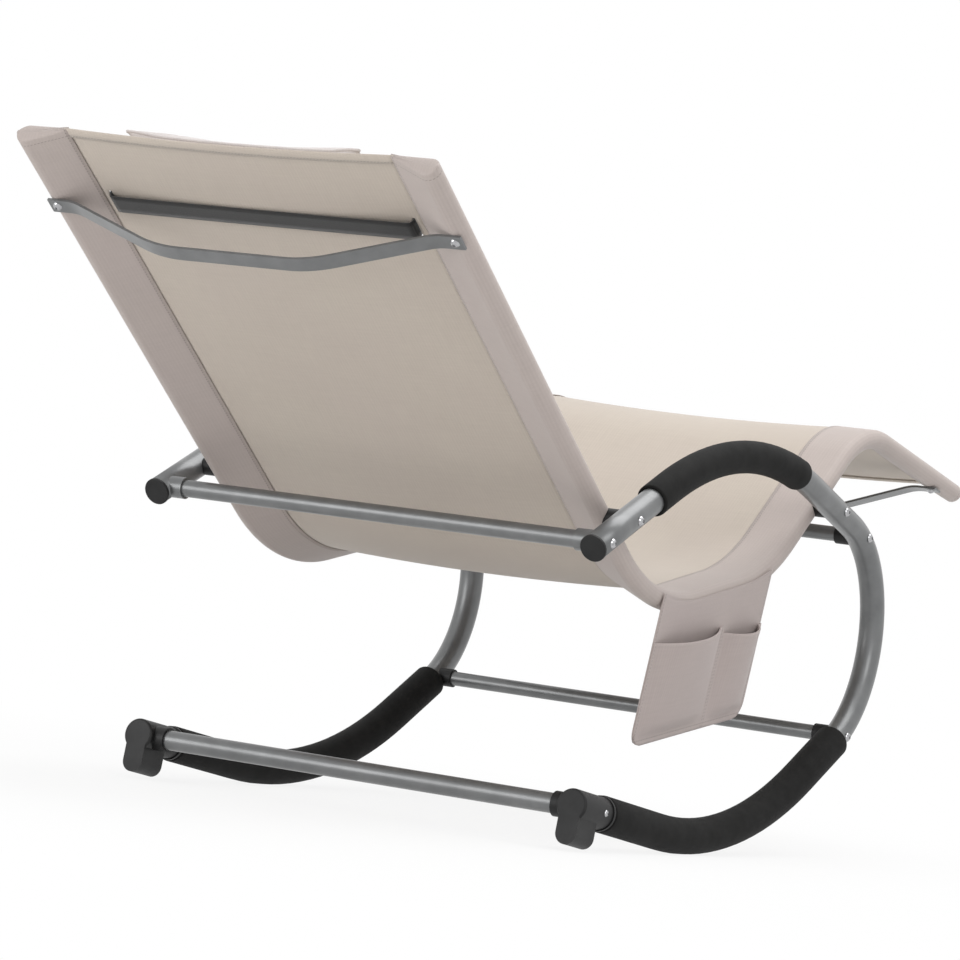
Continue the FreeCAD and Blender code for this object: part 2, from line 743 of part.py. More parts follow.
def pocket_front():
    """Front panel with a small and a large compartment, sewn down all round and at the divider."""
    level = fabric + 0.3
    spans = ((0, pocket_small_length, pocket_lip_small, pocket_bulge_small),
             (pocket_small_length, pocket_length, pocket_lip_large, pocket_bulge_large))
    sheet = Part.Face(pocket_outline(pocket_lip_large, level)).extrude(Vector(0, 0, fabric))
    step = pocket_lip_small - pocket_lip_large
    divider = pocket_small_length + pocket_lean * pocket_lip_small
    sheet = sheet.cut(Part.makeBox(divider + 1, step, 3 * fabric,
                                   Vector(-1, pocket_lip_large, level - fabric)))
    hollows = []
    low = pocket_depth - pocket_bottom_seam
    for first, last, lip, bulge in spans:
        sheet = sheet.fuse(compartment(first + pocket_seam, last - pocket_seam, lip, low,
                                       bulge + fabric, pocket_bottom_bulge, level))
        hollows.append(compartment(first + pocket_seam + fabric, last - pocket_seam - fabric, lip - 1,
                                   low - fabric, bulge, pocket_bottom_bulge - fabric, level - 0.1))
    sheet = sheet.cut(hollows)
    sheet.Placement = pocket_frame()
    return sheet


def build():
    for name, side in SIDES.items():
        pieces["side_frame_" + name] = side_frame(side)
        pieces["arm_end_cap_" + name] = arm_end_cap(side)
        pieces["armrest_foam_" + name] = arm_foam(side)
        pieces["runner_foam_" + name] = runner_foam(side)
        pieces["rear_foot_" + name] = rear_foot(side)
        pieces["seat_rail_" + name] = seat_rail(side)
        pieces["side_sleeve_" + name] = side_sleeve(side)
    for name in cross_stations:
        pieces[name + "_cross_tube"] = cross_tube(name)
        pieces[name + "_saddles"] = saddles(name)
        pieces[name + "_tube_inserts"] = tube_inserts(name)
        pieces[name + "_tube_bolts"] = cross_bolts(name)
    pieces["heel_cross_tube"] = heel_tube()
    pieces["foot_screws"] = foot_screws()
    pieces["rail_end_plugs"] = rail_plugs()
    pieces["rear_seat_spacers"] = seat_spacers(rear_crossing)
    pieces["front_seat_spacers"] = seat_spacers(front_crossing)
    pieces["seat_bolts"] = seat_bolts()
    pieces["seat_rail_inserts"] = seat_inserts()
    pieces["head_bar"] = spreader_bar(head_bar_at)
    pieces["foot_bar"] = spreader_bar(foot_bar_at)
    pieces["bar_bolts"] = bar_bolts()
    pieces["bar_inserts"] = bar_inserts()
    pieces["sling_panel"] = sling_panel()
    pieces["head_pillow"] = pillow()
    pieces["pillow_strap"] = pillow_strap()
    pieces["pocket_back"] = pocket_back()
    pieces["pocket_front"] = pocket_front()


def rest_placement():
    """Rock the chair to its balance, stand it on the floor and centre it over the origin."""
    turn = Placement(Vector(0, 0, 0), FreeCAD.Rotation(X_AXIS, rest_tilt))
    rocker_centre = turn.multVec(side_route.runs[5][2])
    floor = rocker_centre.z - rocker_radius - runner_foam_od / 2 + rest_flat_depth
    head = turn.multVec(rail_route.place(0).Base)
    foot = turn.multVec(rail_route.place(rail_route.length).Base)
    middle = (head.y + foot.y) / 2
    return Placement(Vector(0, -middle, -floor), FreeCAD.Rotation(X_AXIS, rest_tilt))


def export():
    os.makedirs("parts", exist_ok=True)
    stand = rest_placement()
    ground = Part.makeBox(4000, 4000, 100, Vector(-2000, -2000, -100))
    for name, shape in pieces.items():
        shape.Placement = stand.multiply(shape.Placement)
        if name.startswith("runner_foam"):
            shape = shape.cut(ground)
        shape.exportStep("parts/" + name + ".step")
        print(name, len(shape.Solids), round(shape.Volume), shape.isValid())


build()
export()
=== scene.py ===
import bpy
import bmesh
import math
from mathutils import Matrix, Vector


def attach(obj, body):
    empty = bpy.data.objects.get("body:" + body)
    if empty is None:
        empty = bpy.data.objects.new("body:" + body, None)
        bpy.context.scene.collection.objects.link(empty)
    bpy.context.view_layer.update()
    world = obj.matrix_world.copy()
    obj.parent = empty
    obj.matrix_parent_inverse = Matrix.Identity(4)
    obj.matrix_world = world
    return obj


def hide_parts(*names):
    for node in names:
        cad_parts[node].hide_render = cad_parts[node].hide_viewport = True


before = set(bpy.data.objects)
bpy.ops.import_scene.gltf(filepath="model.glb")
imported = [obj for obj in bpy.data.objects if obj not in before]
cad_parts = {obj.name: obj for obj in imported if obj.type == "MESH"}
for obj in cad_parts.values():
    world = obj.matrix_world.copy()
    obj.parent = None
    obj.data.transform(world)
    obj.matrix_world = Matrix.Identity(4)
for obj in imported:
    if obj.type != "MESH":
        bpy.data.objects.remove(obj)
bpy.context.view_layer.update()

# Side frames: each is one 32 mm steel tube, bent on a tube bender into armrest, front post and
# rocker, and powder coated in a satin mid grey. The chair is drawn upright, from the ends of the
# arm tubes, and then leaned back until the rear feet touch the floor behind the rockers.

arm_end = Vector((0, 0.336146, 0.348573))
lean_back = math.radians(-2.5)
stand = Matrix.Translation(arm_end) @ Matrix.Rotation(lean_back, 4, "X")
frame_half_width = 0.300
frame_radius = 0.016
side_corners = [(0, 0), (-0.364, 0.1615), (-1.028, -0.068), (-0.4435, -0.3665), (-0.025, -0.2975)]
side_bends = [0.541, 0.151, 0.614]
tube_end_cut = 0.0005
coat_dark, coat_light = (0.132, 0.136, 0.138), (0.168, 0.172, 0.174)


class BentLine:
    """Straight runs joined by bends, as a tube bender sets them, in an upright plane."""

    def __init__(self, corners, bends):
        points = [stand @ Vector((0, y, z)) for y, z in corners]
        self.runs = []
        here = points[0]
        for before, corner, after, radius in zip(points, points[1:], points[2:], bends):
            come = (corner - before).normalized()
            go = (after - corner).normalized()
            bend = come.angle(go)
            reach = radius * math.tan(bend / 2)
            start = corner - come * reach
            self.runs.append((here, come, None, (start - here).length, 0))
            centre = corner + (go - come).normalized() * (radius / math.cos(bend / 2))
            self.runs.append((start, come, centre, radius * bend, math.copysign(bend, come.cross(go).x)))
            here = corner + go * reach
        last = points[-1] - here
        self.runs.append((here, last.normalized(), None, last.length, 0))
        self.length = sum(run[3] for run in self.runs)

    def place(self, station, x=0.0):
        """Where the line is at a station: local x across, y to the upper side, z ahead."""
        for start, ahead, centre, length, bend in self.runs:
            if station <= length + 1e-9:
                break
            station -= length
        else:
            station += length
        if centre is None:
            point = start + ahead * station
        else:
            swing = Matrix.Rotation(bend * station / length, 3, "X")
            point = centre + swing @ (start - centre)
            ahead = swing @ ahead
        up = ahead.cross(Vector((1, 0, 0)))
        return Matrix(((1, 0, 0, x), (0, up.y, ahead.y, point.y), (0, up.z, ahead.z, point.z), (0, 0, 0, 1)))

    def station_of(self, point):
        """Station of the place on the line that is nearest to a point."""
        begin, best = 0.0, (1e9, 0.0)
        for start, ahead, centre, length, bend in self.runs:
            if centre is None:
                along = (point - start).dot(ahead)
            else:
                arm, spoke = start - centre, point - centre
                along = math.atan2(arm.cross(spoke).x, arm.y * spoke.y + arm.z * spoke.z) / bend * length
            along = min(max(along, 0.0), length)
            near = self.place(begin + along).translation
            best = min(best, (math.hypot(near.y - point.y, near.z - point.z), begin + along))
            begin += length
        return best[1]


def grown(geometry):
    """The new end of an extrusion: its vertices and the edges between them."""
    verts = [item for item in geometry if isinstance(item, bmesh.types.BMVert)]
    ends = set(verts)
    edges = [item for item in geometry
             if isinstance(item, bmesh.types.BMEdge) and ends.issuperset(item.verts)]
    return verts, edges


def follow(line, x, profile, first, last, closed=True, straight=0.06, step=2.0, mesh=None):
    """A profile extruded along the straight runs of a line, in steps of so many metres, and spun
    round its bends, in steps of so many degrees."""
    mesh = mesh or bmesh.new()
    around = mesh.verts.layers.float.get("around") or mesh.verts.layers.float.new("around")
    at = line.place(first, x)
    verts = [mesh.verts.new(at @ Vector((a, b, 0))) for a, b in profile]
    measure = 0.0
    for before, vert in zip([verts[0]] + verts, verts):
        measure += (vert.co - before.co).length
        vert[around] = measure
    edges = [mesh.edges.new(pair) for pair in zip(verts, verts[1:] + verts[:1] if closed else verts[1:])]
    begin = 0.0
    for start, ahead, centre, length, bend in line.runs:
        low, high = max(first, begin) - begin, min(last, begin + length) - begin
        begin += length
        if high - low < 1e-6:
            continue
        if centre is None:
            parts = max(1, round((high - low) / straight))
            for _ in range(parts):
                verts, edges = grown(bmesh.ops.extrude_edge_only(mesh, edges=edges)["geom"])
                bmesh.ops.translate(mesh, verts=verts, vec=ahead * ((high - low) / parts))
        else:
            swing = bend * (high - low) / length
            turned = bmesh.ops.spin(mesh, geom=verts + edges, cent=centre, axis=(1, 0, 0), dvec=(0, 0, 0),
                                    angle=swing, steps=max(2, round(abs(math.degrees(swing)) / step)),
                                    use_merge=False, use_duplicate=False)
            verts, edges = grown(turned["geom_last"])
    bmesh.ops.remove_doubles(mesh, verts=mesh.verts, dist=2e-5)
    return mesh


def circle(radius, count=40):
    turns = [math.tau * n / count for n in range(count)]
    return [(radius * math.cos(turn), radius * math.sin(turn)) for turn in turns]


def finished(name, mesh, material, body):
    """Turns a bmesh into a smooth shaded piece that rides on a body of the chair."""
    bmesh.ops.recalc_face_normals(mesh, faces=mesh.faces)
    data = bpy.data.meshes.new(name)
    mesh.to_mesh(data)
    mesh.free()
    data.shade_smooth()
    data.materials.append(material)
    made = bpy.data.objects.new(name, data)
    bpy.context.scene.collection.objects.link(made)
    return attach(made, body)


class Finish:
    """A node material, with the few steps that the finishes of this chair share."""

    def __init__(self, name, roughness, metallic=0.0, sheen=0.0, gloss=0.5):
        self.material = bpy.data.materials.new(name)
        self.material.use_nodes = True
        self.tree = self.material.node_tree
        self.shader = self.tree.nodes["Principled BSDF"]
        self.shader.inputs["Roughness"].default_value = roughness
        self.shader.inputs["Metallic"].default_value = metallic
        self.shader.inputs["Sheen Weight"].default_value = sheen
        self.shader.inputs["Sheen Roughness"].default_value = 0.5
        self.shader.inputs["Specular IOR Level"].default_value = gloss
        self.coordinates = self.node("ShaderNodeTexCoord")

    def node(self, kind, **settings):
        made = self.tree.nodes.new(kind)
        for key, value in settings.items():
            setattr(made, key, value)
        return made

    def link(self, source, target):
        self.tree.links.new(source, target)

    def compute(self, operation, *values):
        """A Math node on sockets and numbers."""
        made = self.node("ShaderNodeMath", operation=operation)
        for socket, value in zip(made.inputs, values):
            if isinstance(value, (int, float)):
                socket.default_value = value
            else:
                self.link(value, socket)
        return made.outputs["Value"]

    def wave(self, measure, pitch):
        return self.compute("SINE", self.compute("MULTIPLY", measure, math.tau / pitch))

    def noise(self, scale, detail=3.0, stretch=(1, 1, 1), uv=False):
        mapping = self.node("ShaderNodeMapping")
        mapping.inputs["Scale"].default_value = stretch
        self.link(self.coordinates.outputs["UV" if uv else "Object"], mapping.inputs["Vector"])
        noise = self.node("ShaderNodeTexNoise")
        noise.inputs["Scale"].default_value = scale
        noise.inputs["Detail"].default_value = detail
        self.link(mapping.outputs["Vector"], noise.inputs["Vector"])
        return noise.outputs["Fac"]

    def shades(self, value, dark, light, low=0.3, high=0.7):
        ramp = self.node("ShaderNodeValToRGB")
        for element, position, colour in zip(ramp.color_ramp.elements, (low, high), (dark, light)):
            element.position = position
            element.color = (*colour, 1)
        self.link(value, ramp.inputs["Fac"])
        self.link(ramp.outputs["Color"], self.shader.inputs["Base Color"])

    def mark(self, mask, colour):
        """Lays a colour over the base colour where the mask is."""
        mix = self.node("ShaderNodeMix", data_type="RGBA")
        self.link(mask, mix.inputs[0])
        self.link(self.shader.inputs["Base Color"].links[0].from_socket, mix.inputs[6])
        mix.inputs[7].default_value = (*colour, 1)
        self.link(mix.outputs[2], self.shader.inputs["Base Color"])

    def bump(self, height, strength, distance):
        bump = self.node("ShaderNodeBump")
        bump.inputs["Strength"].default_value = strength
        bump.inputs["Distance"].default_value = distance
        before = self.shader.inputs["Normal"].links
        if before:
            self.link(before[0].from_socket, bump.inputs["Normal"])
        self.link(height, bump.inputs["Height"])
        self.link(bump.outputs["Normal"], self.shader.inputs["Normal"])

    def roughen(self, value, smooth, rough):
        spread = self.node("ShaderNodeMapRange")
        spread.inputs["To Min"].default_value = smooth
        spread.inputs["To Max"].default_value = rough
        self.link(value, spread.inputs["Value"])
        self.link(spread.outputs["Result"], self.shader.inputs["Roughness"])


def powder_coat():
    coat = Finish("grey_powder_coat", 0.36, metallic=0.5, gloss=0.6)
    coat.shader.inputs["Coat Weight"].default_value = 0.3
    coat.shader.inputs["Coat Roughness"].default_value = 0.22
    coat.shades(coat.noise(38, 4), coat_dark, coat_light)
    coat.roughen(coat.noise(9, 2), 0.30, 0.44)
    coat.bump(coat.noise(900, 2), 0.14, 0.0004)
    return coat.material


grey_coat = powder_coat()
side_line = BentLine(side_corners, side_bends)
sides = {"left": 1, "right": -1}
for side_name, side in sides.items():
    tube_mesh = follow(side_line, side * frame_half_width, circle(frame_radius), tube_end_cut,
                       side_line.length - tube_end_cut, step=1.5)
    bmesh.ops.holes_fill(tube_mesh, edges=[edge for edge in tube_mesh.edges if edge.is_boundary], sides=0)
    tube = finished("frame_tube_" + side_name, tube_mesh, grey_coat, "chair")
    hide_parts("side_frame_" + side_name)


# Cross tubes, seat rails and the two bowed flat bars: the same coated steel, cut or bent to shape.
# The solids' own shapes stay and take the coat.

for name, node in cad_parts.items():
    if name.endswith(("_cross_tube", "_bar")) or name in ("seat_rail_left", "seat_rail_right"):
        node.data.materials.clear()
        node.data.materials.append(grey_coat)


# Saddles, spacers, end caps, rail plugs and rear feet: moulded in black nylon, with the fine grain
# of the mould and slightly worn, shinier patches. The saddles of the upper rear tube are painted
# over with the frame, so there the tube seems to run straight into the arm tubes.

nylon_dark, nylon_light = (0.0065, 0.0065, 0.0068), (0.0120, 0.0120, 0.0123)


def nylon():
    black = Finish("black_nylon", 0.5, gloss=0.3)
    black.shades(black.noise(60, 4), nylon_dark, nylon_light)
    black.roughen(black.noise(24, 3), 0.40, 0.62)
    black.bump(black.noise(1400, 2), 0.25, 0.0003)
    return black.material


black_nylon = nylon()
for name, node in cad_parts.items():
    if name.endswith(("_saddles", "_spacers", "_plugs")) or name.startswith(("arm_end_cap", "rear_foot")):
        node.data.materials.clear()
        node.data.materials.append(grey_coat if name == "rear_saddles" else black_nylon)


# Bolts and screws: zinc-plated steel with domed, polished heads. The threaded inserts inside the
# tubes have a duller plating.

def plated_steel(name, dark, light, smooth, rough):
    steel = Finish(name, smooth, metallic=1.0)
    steel.shades(steel.noise(420, 3), dark, light)
    steel.roughen(steel.noise(260, 2), smooth, rough)
    steel.bump(steel.noise(2200, 1), 0.1, 0.0002)
    return steel.material


bright_plating = plated_steel("bright_plated_steel", (0.34, 0.34, 0.35), (0.50, 0.50, 0.51), 0.16, 0.30)
dull_plating = plated_steel("dull_plated_steel", (0.46, 0.46, 0.47), (0.60, 0.60, 0.60), 0.32, 0.5)
for name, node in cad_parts.items():
    if name.endswith(("_bolts", "_screws", "_inserts")):
        node.data.materials.clear()
        node.data.materials.append(dull_plating if name.endswith("_inserts") else bright_plating)


# Foam sleeves on the arms and on the runners: extruded charcoal foam, pushed over the tubes, with
# softly rounded cut ends. Where a runner stands on the floor, the foam is pressed flat.

foam_edge = 0.003
foam_clearance = 0.0003
runner_foam_gap = 0.0001
foot_socket_length = 0.067
foam_dark, foam_light = (0.0070, 0.0069, 0.0067), (0.0125, 0.0123, 0.0120)
front_post_end = sum(run[3] for run in side_line.runs[:4])
foam_radius_and_ends = {
    "armrest_foam_": (0.020, 0.143, 0.543),
    "runner_foam_": (0.022, front_post_end + runner_foam_gap, side_line.length - foot_socket_length),
}


def foam():
    black = Finish("charcoal_foam", 0.78, sheen=0.02, gloss=0.12)
    black.shades(black.noise(55, 5), foam_dark, foam_light)
    black.roughen(black.noise(16, 3), 0.66, 0.86)
    black.bump(black.noise(1100, 3), 0.5, 0.0005)
    black.bump(black.noise(42, 2), 0.25, 0.0012)
    return black.material


def foam_sleeve(name, x, outer, first, last):
    """Outside, rolled ends and the bore round the tube, in one closed skin."""
    bore = frame_radius + foam_clearance
    mesh = follow(side_line, x, circle(outer, 48), first + foam_edge, last - foam_edge, straight=0.02)
    for way, station in ((-1, first), (1, last)):
        start = side_line.place(station - way * foam_edge, x).translation
        rim = [edge for edge in mesh.edges
               if edge.is_boundary and (edge.verts[0].co - start).length < outer * 1.5]
        for part in range(1, 8):
            roll = math.pi / 12 * min(part, 6)
            here = side_line.place(station - way * foam_edge * (1 - math.sin(roll)), x)
            radius = outer - foam_edge * (1 - math.cos(roll)) if part < 7 else bore
            verts, rim = grown(bmesh.ops.extrude_edge_only(mesh, edges=rim)["geom"])
            for vert in verts:
                spoke = here.inverted() @ vert.co
                vert.co = here @ (Vector((spoke.x, spoke.y, 0)).normalized() * radius)
    follow(side_line, x, circle(bore, 48), first, last, straight=0.02, mesh=mesh)
    for vert in mesh.verts:
        vert.co.z = max(vert.co.z, 0.0)
    return finished(name, mesh, charcoal_foam, "chair")


charcoal_foam = foam()
for side_name, side in sides.items():
    for form, (outer, first, last) in foam_radius_and_ends.items():
        sleeve = foam_sleeve(form + "sleeve_" + side_name, side * frame_half_width, outer, first, last)
        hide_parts(form + side_name)


# Side strips of the sling: taupe textilene, a woven mesh of coated polyester yarn. Each strip is
# folded round its seat rail and stitched shut along a straight seam beside the rail.

rail_half_width = 0.262
rail_corners = [(0.404, 0.3935), (-0.2295, -0.0775), (-0.531, -0.0265), (-0.7755, 0.1735),
                (-1.0985, 0.1005)]
rail_bends = [0.270, 0.276, 0.153]
rail_line = BentLine(rail_corners, rail_bends)
cloth = 0.0014
cloth_wall = 0.0012
weave_repeat = 0.0021
rib_pitch = 2 * weave_repeat
stitch_pitch = 0.0042
stitch_half_width = 0.0007
stitch_inset = 0.004
hem_stitch_inset = 0.010
strip_radius = 0.0120
seam_inset = 0.051
seam_height = 0.0106
pinch = 0.0034
pinch_margin = 0.0004
pinched_half = 0.0018
fold_step = 0.006
taupe_dark, taupe_light = (0.395, 0.342, 0.312), (0.485, 0.428, 0.392)


def textilene(name, dark, light, across_rows=(), along_rows=()):
    """Woven mesh: yarns at about a millimetre's pitch, slubs and streaks in the yarn, and rows of
    lock stitching at the given places across and along the cloth."""
    weave = Finish(name, 0.6, sheen=0.15, gloss=0.35)
    split = weave.node("ShaderNodeSeparateXYZ")
    weave.link(weave.coordinates.outputs["UV"], split.inputs["Vector"])
    across, along = split.outputs["X"], split.outputs["Y"]
    over = weave.wave(across, weave_repeat)
    under = weave.wave(along, weave_repeat)
    yarns = weave.compute("MULTIPLY_ADD", weave.compute("MULTIPLY", over, under), 0.5, 0.5)
    ribs = weave.compute("MULTIPLY_ADD", weave.wave(across, rib_pitch), 0.5, 0.5)
    warp = weave.noise(60, 3, (5.0, 0.35, 1.0), True)
    weft = weave.noise(60, 3, (0.35, 5.0, 1.0), True)
    cloud = weave.noise(4, 3, (1, 1, 1), True)
    mottle = weave.compute("MULTIPLY_ADD", yarns, 0.16, weave.compute("MULTIPLY", warp, 0.30))
    mottle = weave.compute("ADD", mottle, weave.compute("MULTIPLY", weft, 0.26))
    mottle = weave.compute("ADD", mottle, weave.compute("MULTIPLY", cloud, 0.28))
    mottle = weave.compute("MULTIPLY_ADD", ribs, 0.11, mottle)
    weave.shades(mottle, dark, light, 0.30, 0.72)
    mauve = tuple(shade * tint for shade, tint in zip(dark, (1.08, 1.04, 1.12)))
    weave.mark(weave.compute("MULTIPLY", weave.noise(7, 2, (1, 1, 1), True), 0.5), mauve)
    weave.roughen(warp, 0.5, 0.7)
    weave.bump(yarns, 0.4, 0.0003)
    weave.bump(cloud, 0.25, 0.002)
    rows = [(across, along, value) for value in across_rows]
    rows += [(along, across, value) for value in along_rows]
    stitches = None
    for measure, run, value in rows:
        near = weave.compute("COMPARE", measure, value, stitch_half_width)
        dash = weave.compute("GREATER_THAN", weave.wave(run, stitch_pitch), -0.3)
        row = weave.compute("MULTIPLY", near, dash)
        stitches = row if stitches is None else weave.compute("MAXIMUM", stitches, row)
    if stitches is not None:
        weave.mark(weave.compute("MULTIPLY", stitches, 0.7), tuple(0.62 * shade for shade in dark))
        weave.bump(stitches, -0.8, 0.0006)
    return weave.material


def chart(mesh, line):
    """Gives the cloth its UV map, in metres: round the profile and along the line."""
    around = mesh.verts.layers.float["around"]
    uv = mesh.loops.layers.uv.new("cloth")
    stations = {vert: line.station_of(vert.co) for vert in mesh.verts}
    for face in mesh.faces:
        for loop in face.loops:
            loop[uv].uv = (loop.vert[around], stations[loop.vert])


def thicken(made, thickness):
    wall = made.modifiers.new("cloth_thickness", "SOLIDIFY")
    wall.thickness = thickness
    wall.offset = 0


def cut_end(mesh, at):
    """The row of edges where the cloth is cut across, at a place on its line."""
    back = at.inverted()
    return [edge for edge in mesh.edges
            if edge.is_boundary and all(abs((back @ vert.co).z) < 2e-4 for vert in edge.verts)]


def pinch_end(mesh, line, x, station, way):
    """Draws a strip's end together over the end of its rail and sews it shut."""
    at = line.place(station, x)
    back = at.inverted()
    row = cut_end(mesh, at)
    before = 1.0
    for turn in (15, 30, 45, 60, 72, 82):
        height = math.cos(math.radians(turn))
        ahead = way * (pinch - pinch_margin) * math.sin(math.radians(turn))
        verts, row = grown(bmesh.ops.extrude_edge_only(mesh, edges=row)["geom"])
        for vert in verts:
            spot = back @ vert.co
            middle = seam_height * min(max(-math.copysign(1, x) * spot.x / seam_inset, 0.0), 1.0)
            rise = spot.y - middle
            rise = math.copysign(max(abs(rise) * height / before, min(abs(rise), pinched_half)), rise)
            vert.co = at @ Vector((spot.x, middle + rise, ahead))
        before = height
    bmesh.ops.contextual_create(mesh, geom=row)


# The cloth leaves the round rail at the two places where straight lines to the seam touch it.
lean = math.atan2(seam_height, seam_inset)
spread = math.acos(strip_radius / math.hypot(seam_height, seam_inset))
for side_name, side in sides.items():
    turns = [lean - spread + 2 * (spread - math.pi) * n / 40 for n in range(41)]
    round_rail = [(-side * strip_radius * math.cos(turn), strip_radius * math.sin(turn)) for turn in turns]
    seam_edges = [(-side * seam_inset, seam_height + lift) for lift in (-cloth, cloth)]
    profile = []
    for before, after in zip(seam_edges[:1] + round_rail, round_rail + seam_edges[1:]):
        parts = max(1, round(math.dist(before, after) / fold_step))
        profile += [tuple(a + (b - a) * n / parts for a, b in zip(before, after)) for n in range(parts)]
    profile.append(seam_edges[1])
    girth = sum(math.dist(before, after) for before, after in zip(profile, profile[1:]))
    rail_x = side * rail_half_width
    strip_mesh = follow(rail_line, rail_x, profile, pinch, rail_line.length - pinch, closed=False,
                        straight=0.02)
    pinch_end(strip_mesh, rail_line, rail_x, pinch, -1)
    pinch_end(strip_mesh, rail_line, rail_x, rail_line.length - pinch, 1)
    chart(strip_mesh, rail_line)
    strip_cloth = textilene("textilene_strip_" + side_name, taupe_dark, taupe_light,
                            (stitch_inset, girth - stitch_inset),
                            (hem_stitch_inset, rail_line.length - hem_stitch_inset))
    strip = finished("sling_strip_" + side_name, strip_mesh, strip_cloth, "chair")
    thicken(strip, cloth_wall)
    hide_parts("side_sleeve_" + side_name)


# Sling panel: the same mesh, sewn between the two strips, with its edges laid between their layers.
# It sags a little across, both ends are hemmed, and two slits let the pillow strap through.

panel_lap = 0.004
panel_half = rail_half_width - seam_inset + panel_lap
panel_sag = 0.006
panel_end_cut = 0.0006
hem = 0.012
# The panel's colours are painted lighter and yellower than the strips', which are the same cloth: painted
# light, standing in for the light on the back of the sling.
panel_painted_lit_dark, panel_painted_lit_light = (0.447, 0.391, 0.331), (0.547, 0.489, 0.414)
strap_station = 0.116
strap_width = 0.026
slit_x = 0.200
slit_half = (0.0022, 0.0150)


def fold_end(mesh, line, station, inward, width):
    """Turns a cut end of the cloth under itself, as a hem."""
    at = line.place(station)
    row = cut_end(mesh, at)
    for down, ahead in ((-0.0008, -0.0003), (-0.0008, 0.0003), (0.0, width / 2), (0.0, width / 2)):
        verts, row = grown(bmesh.ops.extrude_edge_only(mesh, edges=row)["geom"])
        bmesh.ops.translate(mesh, verts=verts, vec=at.to_3x3() @ Vector((0, down, inward * ahead)))


def cut_slit(mesh, at, x):
    """Cuts a slot in the cloth, and takes the cut piece out."""
    back = at.inverted()
    half_x, half_z = slit_half

    def near(reach_x, reach_z):
        middles = {face: back @ face.calc_center_median() for face in mesh.faces}
        return [face for face, middle in middles.items()
                if abs(middle.x - x) < reach_x and abs(middle.z) < reach_z]

    for point, normal in (((x - half_x, 0, 0), (1, 0, 0)), ((x + half_x, 0, 0), (1, 0, 0)),
                          ((0, 0, -half_z), (0, 0, 1)), ((0, 0, half_z), (0, 0, 1))):
        faces = near(0.02, 0.03)
        bounds = dict.fromkeys(item for face in faces for item in (*face.verts, *face.edges))
        bmesh.ops.bisect_plane(mesh, geom=faces + list(bounds), plane_co=at @ Vector(point),
                               plane_no=at.to_3x3() @ Vector(normal))
    bmesh.ops.delete(mesh, geom=near(half_x, half_z), context="FACES")


shares = [n / 24 for n in range(-24, 25)]
panel_profile = [(panel_half * share, seam_height - panel_sag * (1 - share ** 2)) for share in shares]
panel_foot = rail_line.length - panel_end_cut
panel_mesh = follow(rail_line, 0, panel_profile, panel_end_cut, panel_foot, closed=False, straight=0.02)
fold_end(panel_mesh, rail_line, panel_end_cut, 1, hem)
fold_end(panel_mesh, rail_line, panel_foot, -1, hem)
chart(panel_mesh, rail_line)
for side in sides.values():
    cut_slit(panel_mesh, rail_line.place(strap_station), side * slit_x)
# The panel's cloth takes the colours painted lighter for the light on the back of the sling.
panel_cloth = textilene("textilene_panel_painted_lighter", panel_painted_lit_dark, panel_painted_lit_light, (),
                        (hem_stitch_inset, rail_line.length - hem_stitch_inset))
panel = finished("sling_cloth_panel", panel_mesh, panel_cloth, "chair")
thicken(panel, cloth_wall)
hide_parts("sling_panel")


# Head pillow: a bag of the same mesh, filled and sewn shut all round with a piped edge, so that it
# is fat in the middle and its edges pull in between the corners. It lies below the head end.

pillow_half = (0.158, 0.088, 0.0195)
pillow_most = (0.1597, 0.0887, 0.0209)
pillow_station = 0.106
pillow_gap = 0.0004
pillow_thickness = 0.042
pillow_lift = seam_height + cloth / 2 + pillow_gap + pillow_thickness / 2
pillow_dark, pillow_light = (0.560, 0.520, 0.490), (0.660, 0.620, 0.595)
edge_half = 0.0035
end_pull, side_pull = 0.035, 0.075
filling_reach = 0.006
piping_radius = 0.0017


def pillow_bag():
    mesh = bmesh.new()
    bmesh.ops.create_cube(mesh, size=2.0)
    bmesh.ops.subdivide_edges(mesh, edges=mesh.edges, cuts=21, use_grid_fill=True)
    for vert in mesh.verts:
        a, b, c = vert.co
        crown = max(0.0, 1 - abs(a) ** 3.0) * max(0.0, 1 - abs(b) ** 2.2)
        vert.co = Vector((a * pillow_half[0] * (1 - end_pull * (1 - b * b)),
                          b * pillow_half[1] * (1 - side_pull * (1 - a * a)),
                          c * (edge_half + (pillow_half[2] - edge_half) * crown ** 0.55)))
    data = bpy.data.meshes.new("pillow_bag")
    mesh.to_mesh(data)
    mesh.free()
    bag = bpy.data.objects.new("head_pillow_bag", data)
    bpy.context.scene.collection.objects.link(bag)
    return bag


def settle(made):
    """Keeps the shape that the modifiers have given, and removes them."""
    shape = bpy.data.meshes.new_from_object(made.evaluated_get(bpy.context.evaluated_depsgraph_get()))
    made.modifiers.clear()
    made.data = shape


def fill_bag(bag, cap):
    """Presses the bag out for 20 frames as cloth round its filling, no point further than the cap."""
    even = bag.modifiers.new("even_mesh", "REMESH")
    even.mode = "VOXEL"
    even.voxel_size = 0.0045
    settle(bag)
    before = [vert.co.copy() for vert in bag.data.vertices]
    skin = bag.modifiers.new("filled_cloth", "CLOTH")
    skin.settings.quality = 6
    skin.settings.use_pressure = True
    skin.settings.uniform_pressure_force = 4.0
    skin.settings.effector_weights.gravity = 0
    for number in range(1, 21):
        bpy.context.scene.frame_set(number)
    settle(bag)
    bpy.context.scene.frame_set(1)
    for vert, place in zip(bag.data.vertices, before):
        move = vert.co - place
        vert.co = place + move * min(1.0, cap / max(move.length, 1e-9))


def chart_flat(mesh, at):
    """Gives the cloth of the pillow its UV map, in metres, as it lies."""
    uv = mesh.loops.layers.uv.new("cloth")
    back = at.inverted()
    for face in mesh.faces:
        for loop in face.loops:
            loop[uv].uv = (back @ loop.vert.co).xy


